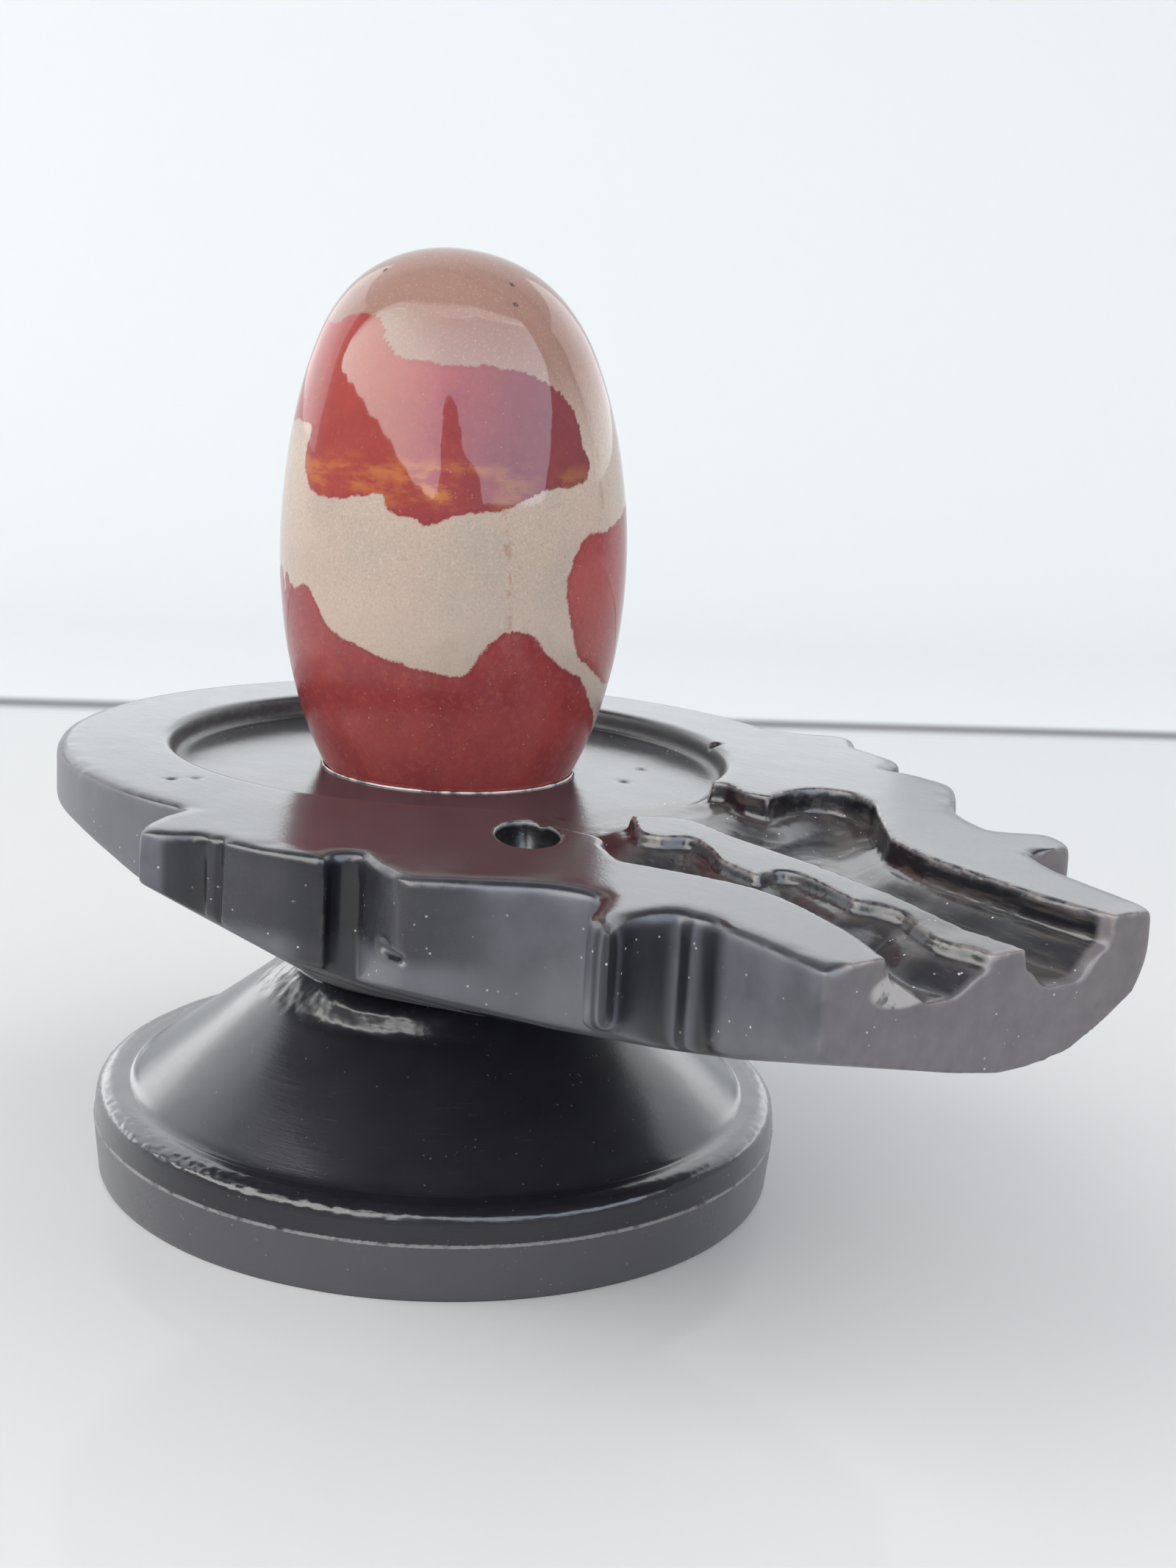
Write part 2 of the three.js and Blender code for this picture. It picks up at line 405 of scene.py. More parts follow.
# bright sheets round the stone: azimuth 0 is towards the camera and grows to its right, rises from level
# edges are (azimuth, lowest, highest), and a plain sheet has a span and a rise; tints are colours by azimuth
# a day sheet only lights, and the others show only in gloss
lights = {
    "window": {
        "reach": 1500, "fade": 0.5,
        "tints": [(-104, (4.4, 5.8, 5.3)), (-70, (4.3, 5.5, 5.0)), (-50, (4.0, 4.9, 4.7)),
                  (-31, (3.5, 4.1, 4.2)), (-20, (3.1, 3.5, 3.9)), (-12, (2.7, 2.9, 3.5)),
                  (-5, (2.2, 2.4, 3.0)), (84, (2.1, 2.4, 3.0))],
        "plain": [(-31, (5.3, 5.25, 5.0)), (-10, (4.4, 4.5, 4.5)), (8, (2.8, 3.1, 3.6)),
                  (84, (2.6, 3.0, 3.5))],
        "edges": [
            (-103.5, 22.4, 23.4), (-101.5, 20.6, 29), (-99, 20.4, 33), (-95, 21, 40), (-91, 20.2, 46),
            (-85, 21.2, 51), (-79, 20.4, 54), (-72, 20.4, 56), (-64, 19, 57.5), (-58, 19.2, 58.5),
            (-53, 17.6, 59), (-45, 16.8, 60), (-37.6, 14.2, 60.5), (-31.8, 12.8, 61), (-26.3, 10.6, 61.5),
            (-22.6, 11, 61.8), (-20, 9.3, 62), (-15.6, 8.3, 62.5), (-13.6, 8.5, 62.6), (-12.4, 10.4, 62.7),
            (-11.4, 9.4, 62.8), (-10.9, 13, 62.8), (-10.3, 26.4, 63), (-7.3, 29.4, 63.3), (-3.8, 29.8, 63.6),
            (-0.6, 28.4, 64), (1.2, 23.3, 64.2), (3.2, 22.4, 64.4), (4.2, 19, 64.5), (7, 17.2, 65),
            (11, 15.8, 65.2), (15.8, 13.5, 65.5), (17.2, 9, 65.5), (34, 8.6, 64.5), (48, 8.6, 61),
            (60, 9.6, 57.5), (63, 12.4, 57), (68, 15.6, 56), (74, 20.5, 54), (80, 26, 52), (84, 33, 48)]},
    "haze": {
        "reach": 1500, "fade": 0, "tints": [(0, (2.1, 2.1, 2.2))],
        "edges": [(-103, 23.4, 30), (-95, 40, 48), (-85, 51, 59), (-64, 57.5, 68), (-37.6, 60.5, 73),
                  (0, 63.8, 75), (30, 64.6, 74), (60, 57.5, 66), (84, 48, 54)]},
    "dayLeft": {"day": True, "reach": 1600, "glow": (2.95, 2.93, 2.9), "span": (-104, -40), "rise": (3, 68)},
    "dayRight": {"day": True, "reach": 1600, "glow": (1.42, 1.43, 1.48), "span": (-40, 120),
                 "rise": (3, 68)},
    "backGlow": {
        "reach": 292, "base": 0.35, "span": (156, 204), "rise": (13, 42),
        "tints": [(156, (0.97, 0.98, 1.0)), (170, (1.05, 1.06, 1.08)), (180, (1.1, 1.11, 1.13)),
                  (204, (0.9, 0.91, 0.93))]},
    "backLow": {"reach": 292, "fade": 0.5, "span": (156, 204), "rise": (2, 13),
                "tints": [(180, (0.95, 0.96, 0.98))]},
    "backLeft": {"reach": 292, "glow": (0.86, 0.87, 0.9), "span": (204, 252), "rise": (8.5, 42)},
    "lowLeft": {"reach": 292, "glow": (3.0, 3.02, 3.06), "span": (204, 252), "rise": (-4, 8.5)},
    "backRight": {"reach": 292, "glow": (0.9, 0.91, 0.94), "span": (108, 156), "rise": (8.5, 42)},
    "lowRight": {"reach": 292, "glow": (2.2, 2.22, 2.26), "span": (108, 156), "rise": (-4, 8.5)},
    "middle": (0, 0, 75), "rows": 8, "fadeFrom": 0.6,
    "plainNearer": 40,   # two sheets never lie in the same place
    "room": 0.42, "roomColour": (0.95, 0.97, 1.0),
}


def makeCamera():
    data = bpy.data.cameras.new("camera")
    data.lens, data.sensor_width, data.clip_start = view["lens"], view["sensor"], 0.01
    camera = bringIn("camera", data)
    camera.location = [v * mm for v in view["place"]]
    camera.rotation_euler = [math.radians(v) for v in view["turn"]]
    bpy.context.scene.camera = camera


def stageMaterial(name):
    # the table shines up to its seam, and is paler and matt behind it
    g = Graph(name)
    dx, dy = stage["wallDirection"]
    past = (g.axis(1) * dx - g.axis(0) * dy) * 1000 - stage["seamOffset"]
    behind = g.between(past, 0, stage["gap"])
    colour = g.mix(behind, stage["table"], stage["wall"])
    # painted shadow: the strip is darkened across its middle as the shadow line of a table meeting its wall
    if name == "paintedShadowSeam":
        away = ((past - stage["gap"] / 2) ** 2) ** 0.5
        colour = g.mix(g.between(away, stage["gap"] / 2, 0), colour, stage["seamShadow"])
    return g.finish(Base_Color=colour, Roughness=0.07 + behind * 0.8, Specular_IOR_Level=0.12)


def makeStage():
    # a white table that sweeps up into a wall, a soft painted shadow line across it where a table would meet
    # its wall, and a pale ring far behind all
    dx, dy = stage["wallDirection"]
    nx, ny = -dy, dx
    gap, far, sweep, wide = (stage[key] for key in ("gap", "wallOffset", "sweep", "wide"))
    turns = [math.radians(a) for a in range(1, 91)]
    bend = [(far - sweep + sweep * math.sin(a), sweep - sweep * math.cos(a)) for a in turns]
    profile = [(-wide, 0), (far - sweep, 0)] + bend + [(far, stage["wallTop"])]
    table = meshOf(
        "table", [((nx * out + dx * side) * mm, (ny * out + dy * side) * mm, up * mm)
                  for out, up in profile for side in (wide, -wide)],
        [(2 * i, 2 * i + 1, 2 * i + 3, 2 * i + 2) for i in range(len(profile) - 1)])
    smooth(table)
    table.data.materials.append(stageMaterial("whiteTable"))

    middle, height = (stage["seamOffset"] + gap / 2) * mm, stage["ringHeight"] * mm
    clear()
    bpy.ops.mesh.primitive_cube_add(
        size=1, location=(nx * middle, ny * middle, 0), rotation=(0, 0, math.atan2(dy, dx)),
        scale=(2 * wide * mm, gap * mm, 0.1 * mm))
    strip = settle("shadowStrip")
    strip.data.materials.append(stageMaterial("paintedShadowSeam"))
    clear()
    bpy.ops.mesh.primitive_cylinder_add(
        vertices=96, radius=stage["ringRadius"] * mm, depth=height, end_fill_type="NOTHING",
        location=(0, 0, height / 2 - 0.1))
    ring = settle("paleRing")
    g = Graph("paleRing")
    g.output(g.node("ShaderNodeEmission", {}, {"Color": stage["ring"]}))
    ring.data.materials.append(g.material)
    ring.visible_diffuse = ring.visible_glossy = ring.visible_shadow = False


def glowPanel(name, receivers=None, tintsKey="tints"):
    # a curved sheet of light on a wide ball round the stone
    lamp, centre = lights[name], Vector([v * mm for v in lights["middle"]])
    reach = lamp["reach"] - (lights["plainNearer"] if tintsKey == "plain" else 0)
    edges = lamp.get("edges") or [(a, *lamp["rise"]) for a in np.linspace(*lamp["span"], 3)]
    tints = lamp.get(tintsKey) or [(0, lamp["glow"])]
    azimuths, colours = [a for a, _ in tints], [c for _, c in tints]
    rows, fadeFrom = lights["rows"], lights["fadeFrom"]
    corners, shades = [], []
    for (a, lowA, highA), (b, lowB, highB) in zip(edges, edges[1:]):
        for t in (0, 0.25, 0.5, 0.75) + ((1,) if b == edges[-1][0] else ()):
            azimuth = blend(a, b, t)
            turn = math.radians(azimuth + view["azimuth"])
            tint = [np.interp(azimuth, azimuths, [c[i] for c in colours]) for i in range(3)]
            low, high = blend(lowA, lowB, t), blend(highA, highB, t)
            for row in range(rows + 1):
                dim = blend(1, lamp.get("fade", 1), max(0, row / rows - fadeFrom) / (1 - fadeFrom))
                dim *= blend(lamp.get("base", 1), 1, min(1, row))
                shades += [c * dim for c in tint] + [1]
                rise = math.radians(blend(low, high, row / rows))
                level = math.cos(rise)
                way = Vector((math.cos(turn) * level, math.sin(turn) * level, math.sin(rise)))
                corners.append(centre + way * reach * mm)
    tall = rows + 1
    starts = [c * tall + r for c in range(len(corners) // tall - 1) for r in range(rows)]
    sheet = meshOf(name, corners, [(i, i + tall, i + tall + 1, i + 1) for i in starts])
    g = Graph(name + "Light")
    shade = lamp.get("glow")
    if not shade:
        sheet.data.attributes.new("shade", "FLOAT_COLOR", "POINT").data.foreach_set("color", shades)
        shade = g.node("ShaderNodeAttribute", {"attribute_name": "shade"}, {}, "Color")
    shine = g.node("ShaderNodeBsdfPrincipled", {}, {
        "Base Color": (0, 0, 0), "Specular IOR Level": 0, "Emission Color": shade, "Emission Strength": 1})
    clearGlass = g.node("ShaderNodeBsdfTransparent", {}, {})
    g.output(g.node("ShaderNodeAddShader", {}, {0: shine, 1: clearGlass}))
    sheet.data.materials.append(g.material)
    sheet.visible_camera = False
    sheet.visible_diffuse = "day" in lamp
    sheet.visible_glossy = "day" not in lamp
    if receivers:
        sheet.light_linking.receiver_collection = receivers


def makeLights():
    world = bpy.data.worlds.new("studio")
    world.use_nodes = True
    room = world.node_tree.nodes["Background"].inputs
    room["Color"].default_value = (*lights["roomColour"], 1)
    room["Strength"].default_value = lights["room"]
    bpy.context.scene.world = world
    for name in ("haze", "dayLeft", "dayRight"):
        glowPanel(name)
    bpy.context.scene.view_settings.view_transform = "Standard"


makeCamera()
makeStage()
makeLights()
print("camera, stage and lights are in place")


# The stone

stone = {
    "middle": (-0.58, -0.85, 79.35), "halfHeight": 37.35, "radius": 21.677, "restZ": 43,
    "fullness": (1, 0, 0.0476, 0.0684, 0.1695),   # by powers of the height from -1 to 1
    "bend": (0, -0.6325, -0.4271, -0.4319),
    "bendSide": (0.588, 0.809),
    "sides": 256, "rings": 170, "topTurn": 89.4,
    # outlines of the red fields: azimuth in degrees about the stone, height in mm
    "redFields": [
        [(-78.1, 108.2), (-89.9, 107.9), (-98.2, 107), (-112, 107.4), (-127, 108.4), (-143, 106.5),
         (-151, 102), (-146, 97.8), (-131, 96.4), (-117, 95.4), (-105.3, 95.4), (-94.6, 94.9), (-94.8, 92.6),
         (-94.1, 90.4), (-88.8, 87.6), (-75.8, 87.1), (-59.9, 88.1), (-58.3, 86.8), (-54.4, 85.9),
         (-49.6, 85.6), (-44.2, 84.9), (-38.1, 85.9), (-30, 86.6), (-23, 86.8), (-16.9, 87.5), (-10.5, 88.7),
         (-3.4, 89.6), (4.4, 89.8), (11.9, 90.8), (13.8, 92.9), (11.2, 94.6), (10.8, 96.7), (8.2, 98.8),
         (3.4, 100.5), (-2.1, 101.6), (-10.9, 102.6), (-18.3, 102.9), (-25.7, 103.3), (-32.6, 103),
         (-39.6, 103), (-47.8, 103.3), (-55.1, 103.4), (-60.5, 103.9), (-65.6, 105.3), (-71.9, 107.6)],
        [(-107, 74.2), (-98, 75.6), (-89.5, 76.4), (-83.7, 74.1), (-78.7, 71.8), (-72.3, 70.8), (-65, 70),
         (-58.3, 69.1), (-49.4, 68.3), (-41.9, 67.9), (-32.9, 67.6), (-28.8, 68.8), (-25.6, 70.6),
         (-21.1, 72.4), (-16.3, 73), (-11.2, 72.7), (-6.1, 71.5), (-1.7, 69.8), (5.4, 68.1), (12.7, 67.1),
         (17.9, 65.3), (25.1, 63), (33, 61.2), (45, 57.5), (60, 56), (75, 58.5), (92, 64), (110, 70),
         (128, 73), (145, 70.5), (165, 66), (185, 64.5), (205, 68), (222, 73.5), (240, 76.5), (252.9, 74.2),
         (253, 38), (-107, 38)],
        [(10.8, 84.2), (20.3, 84.5), (33, 85.8), (48, 88), (66, 89.5), (84, 87), (97, 82), (104, 77),
         (98, 72.5), (84, 70), (68, 67), (52, 65.3), (38, 64.9), (27, 66.2), (17.2, 68.1), (9.9, 69.7),
         (8, 71.2), (5.1, 74), (2.5, 77.2), (2.8, 79.4), (5.8, 82)],
        [(146, 95), (156, 99.2), (172, 100.5), (190, 98.5), (206, 93), (204, 86), (188, 82), (170, 83.5),
         (158, 86.5), (149, 90)],
    ],
    "hairline": [(-20.6, 87.2), (-19.7, 84.9), (-18.9, 82), (-19, 80.3), (-18, 78.2), (-17.8, 75.6),
                 (-17.4, 73.2)],
    # thin growth bands over the right shoulder, and three tiny chips at the top
    "bands": [
        [(-33.1, 114.8), (-24.5, 114.3), (-3.7, 112.8), (6.2, 109.9), (9.9, 106.9), (12.2, 103.1),
         (16.7, 99.6), (19.2, 96), (19.4, 91.6), (19.8, 87.3)],
        [(-67.6, 112.8), (-52.4, 113.8), (-33.4, 113.5), (-13.3, 111.4), (-3.5, 108.2), (1.5, 103.3),
         (9.6, 98.4)],
    ],
    "chips": [(-86.6, 113.4), (-2.2, 112.5), (-6.4, 110.2)],
}


def powers(factors, u):
    return sum(f * u ** i for i, f in enumerate(factors))


def share(z):
    # the height as a part of half the stone's, from -1 at its foot to 1 at its top
    return (z - stone["middle"][2]) / stone["halfHeight"]


def stoneRing(u):
    bend = powers(stone["bend"], u)
    bendX, bendY = stone["bendSide"]
    x, y, z = stone["middle"]
    radius = stone["radius"] * np.sqrt(max(1 - u * u, 0)) * powers(stone["fullness"], u)
    return [x + bend * bendX, y + bend * bendY, radius, z + stone["halfHeight"] * u]


def onStone(azimuth, z):
    x, y, radius, z = stoneRing(min(max(share(z), -0.999), 0.999))
    turn = math.radians(azimuth)
    return (x + radius * math.cos(turn), y + radius * math.sin(turn), z)


def alongStone(corners, steps):
    return [onStone(blend(a[0], b[0], t), blend(a[1], b[1], t))
            for a, b in zip(corners, corners[1:]) for t in np.arange(steps) / steps]


def makeStone():
    low, high, count = math.asin(share(stone["restZ"])), math.radians(stone["topTurn"]), stone["rings"]
    rings = [stoneRing(math.sin(blend(low, high, i / count))) for i in range(count + 1)]
    x, y, radius, z = rings[0]
    # the lowest edge is broken a little
    piece = turnUp("polishedStone", [[x, y, radius - 0.4, z], [x, y, radius - 0.1, z + 0.06]] + rings[1:],
                   stone["sides"], closeTop=True)
    roughen(piece, 9, 0.10)
    smooth(piece)

    points = coordinates(piece)
    x, y, z = points.T
    azimuth = np.degrees(np.arctan2(y - stone["middle"][1], x - stone["middle"][0]))
    depth = np.full(len(points), -99.0)
    for field in stone["redFields"]:
        loop = closedLoop(field)
        held = inside(azimuth, z, loop) | inside(azimuth + 360, z, loop) | inside(azimuth - 360, z, loop)
        apart = nearest(points, [onStone(*p) for p in loop])
        depth = np.maximum(depth, np.where(held, apart, -apart))
    keep(piece, "redDepth", depth)
    keep(piece, "crackGap", nearest(points, alongStone(stone["hairline"], 12)))
    keep(piece, "bandGap", nearest(points, [p for band in stone["bands"] for p in alongStone(band, 10)]))
    keep(piece, "chipGap", nearest(points, [onStone(*place) for place in stone["chips"]]))
    return piece


def stoneMaterial():
    g = Graph("bandedRiverStone")
    edge = g.read("redDepth") + (g.noise(1.6, 4, 0.6) - 0.5) * 1.0 + (g.noise(0.3, 2, 0.6) - 0.5) * 0.75
    red = g.between(edge, -0.16, 0.17)
    grain = g.noise(0.30, 3, 0.7)
    coarse = g.noise(0.9, 3, 0.6)
    cloud = g.noise(9, 3, 0.55)
    wide = g.noise(22, 2, 0.5)
    broken = g.noise(1.1, 3, 0.6)
    height = g.axis(2) * 1000
    top = g.between(height, 92, 106)
    acrossX, acrossY = stone["bendSide"]
    across = (g.axis(0) * acrossX + g.axis(1) * acrossY) * 1000

    crackGap = g.read("crackGap") + (g.noise(1.2, 2) - 0.5) * 1.4
    bandGap = g.read("bandGap") + (g.noise(2.5, 2) - 0.5) * 1.0
    cream = g.paint(
        g.mix(g.between(cloud, 0.35, 0.68), (0.43, 0.335, 0.27), (0.385, 0.315, 0.262)),
        (g.between(wide, 0.45, 0.7) * 0.6, (0.45, 0.325, 0.265)),
        # painted shade together with the stone's own browner tone: the cream is darker towards the top
        (top, (0.255, 0.142, 0.112)),
        (g.between(grain, 0.52, 0.72) * (0.45 - top * 0.27), (0.60, 0.50, 0.43)),
        (g.between(grain, 0.48, 0.28) * 0.45, (0.24, 0.18, 0.145)),
        (g.between(coarse, 0.58, 0.75) * 0.30, (0.27, 0.215, 0.18)),
        (g.between(height, 80, 72) * 0.35, (0.50, 0.41, 0.335)),
        (g.between(crackGap, 0.55, 0.05) * g.between(broken, 0.40, 0.62) * 0.55, (0.30, 0.12, 0.08)),
        (g.between(bandGap, 0.75, 0.05) * g.between(broken, 0.30, 0.60) * 0.38, (0.21, 0.115, 0.085)))

    # the upper field has a yellow streak low down, broken up, and is painted lighter on its left and darker
    # towards its right side as painted light and shade
    seeds = g.between(g.cells(0.75), 0.16, 0.06) * g.between(g.noise(3, 2), 0.46, 0.60)
    low = g.between(height, 93.2, 90.6) * g.between(height, 85.6, 88.2)
    streak = g.noise(2.6, 5, 0.6, stretch=(1.6, 1.6, 0.6))
    ochre = low * g.between(streak, 0.41, 0.62) * g.between(g.noise(8, 2, 0.5), 0.38, 0.54)
    upper = g.between(height, 84, 88)
    rust = g.paint(
        g.mix(g.between(cloud, 0.3, 0.7), (0.225, 0.034, 0.038), (0.300, 0.050, 0.046)),
        (g.between(coarse, 0.46, 0.72) * 0.5, (0.33, 0.075, 0.056)),
        (g.between(grain, 0.46, 0.28) * 0.55, (0.125, 0.019, 0.024)),
        (seeds * 0.8, (0.48, 0.26, 0.19)),
        (ochre * 0.85, (0.50, 0.20, 0.05)),
        (g.between(edge, 0.9, 0.1) * 0.30, (0.150, 0.028, 0.034)),
        # painted light and shade: the upper red field is lighter on its left and darker on its right, as
        # seen from the camera
        (g.between(across, -1, -9) * upper * 0.5, (0.27, 0.040, 0.026)),
        (g.between(across, -7, 8) * upper * 0.62, (0.105, 0.027, 0.036)))

    chip = g.between(g.read("chipGap") + (g.noise(0.4, 2) - 0.5) * 0.5, 0.42, 0.30)
    colour = g.mix(chip, g.mix(red, cream, rust), (0.05, 0.035, 0.03))
    roughness = 0.03 + g.noise(4, 3) * 0.04 + chip * 0.4 + g.between(height, 74, 66) * 0.16
    bump = g.bump(g.noise(0.5, 2), 0.004, 0.35)
    return g.finish(Base_Color=colour, Roughness=roughness, Normal=bump, IOR=1.52)


polishedStone = makeStone()
polishedStone.data.materials.append(stoneMaterial())
print("stone is made,", len(polishedStone.data.polygons), "faces")


# The pedestal

pedestal = {
    # radius and height in mm, each stretch smooth and meeting the next at a corner
    "foot": [(43.3, 0), (43.8, 0.1), (44, 0.4)],
    "footTop": (44.58, 6.8),
    "shoulder": [[(44.6, 6.95), (44.5, 7.12)],
                 [(44.43, 8.1), (44.34, 9.0), (44.22, 9.7), (44.03, 10.22), (43.68, 10.6), (43.15, 10.85),
                  (42.5, 10.99), (41.8, 11.04), (41.1, 11.02), (40.5, 10.98), (40.1, 10.98), (39.75, 11.1),
                  (39.42, 11.31), (39.1, 11.56)]],
    "flare": [[(24.7, 22.75), (23.7, 23.35), (23.15, 23.95), (22.88, 24.6), (22.64, 25.3), (22.35, 26),
               (21.6, 26.55), (19.6, 27)]],
    "edgeZ": 7.02, "edgeRadius": 43, "crestZ": 10.5, "crestRadius": 41.5, "neckZ": 22.8,
    "sides": 600,
}


def lineTo(start, end, steps):
    # the places between two, without them
    (a, b), (c, d) = start, end
    return [(blend(a, c, i / steps), blend(b, d, i / steps)) for i in range(1, steps)]


def makePedestal():
    p = pedestal
    foot, footTop, coneFoot, coneTop = p["foot"][-1], p["footTop"], p["shoulder"][-1][-1], p["flare"][0][0]
    neckRadius, neckZ = p["flare"][0][-1][0], p["neckZ"]
    profile = p["foot"] + lineTo(foot, footTop, 10) + [footTop] + trace(p["shoulder"], 3)
    profile += lineTo(coneFoot, coneTop, 30) + trace(p["flare"], 4)
    piece = turnUp("turnedPedestal", [(0, 0, r, z) for r, z in profile], p["sides"])
    points = coordinates(piece)
    x, y, z = points.T
    radius = np.hypot(x, y)
    side = (np.degrees(np.arctan2(y, x)) - view["azimuth"] + 180) % 360 - 180
    group(piece, "edge", ease(1 - np.abs(z - p["edgeZ"]) / 0.6, 0, 1) * (radius > p["edgeRadius"]))
    # the neck swells on the near side only; elsewhere the cone runs on up to the plate
    slope = (coneTop[0] - coneFoot[0]) / (coneTop[1] - coneFoot[1])
    cone = np.clip(coneFoot[0] + (z - coneFoot[1]) * slope, neckRadius, None)
    nearSide = 1 - ease(side, -56, -30) * ease(side, 16, -10)
    swell = np.where((z > neckZ) & (radius > 19), nearSide, 0)
    points[:, :2] *= (blend(radius, cone, swell) / np.maximum(radius, 1))[:, None]
    reshape(piece, points)
    rough = 0.3 + 0.7 * ease(side, -75, -55) * ease(side, 6, -14)
    crest = ease(1 - np.abs(z - p["crestZ"]) / 0.9, 0, 1) * (radius > p["crestRadius"])
    group(piece, "crest", crest * rough)
    group(piece, "flare", ease(z, neckZ, neckZ + 1.2) * ease(z, 26.9, 26.2) * (radius > 10))
    for size, strength, where, depth in ((12, 0.14, "", 2), (0.8, 0.16, "edge", 2), (0.85, 0.42, "crest", 2),
                                         (3, 0.3, "flare", 1), (1.1, 0.12, "flare", 2)):
        roughen(piece, size, strength, where, depth)
    points = coordinates(piece)
    points[:, 2] = np.where(points[:, 2] < 0.25, 0, points[:, 2])   # stands flat
    reshape(piece, points)
    smooth(piece)
    keep(piece, "swelling", swelling(piece, 2))
    return piece


# The plate

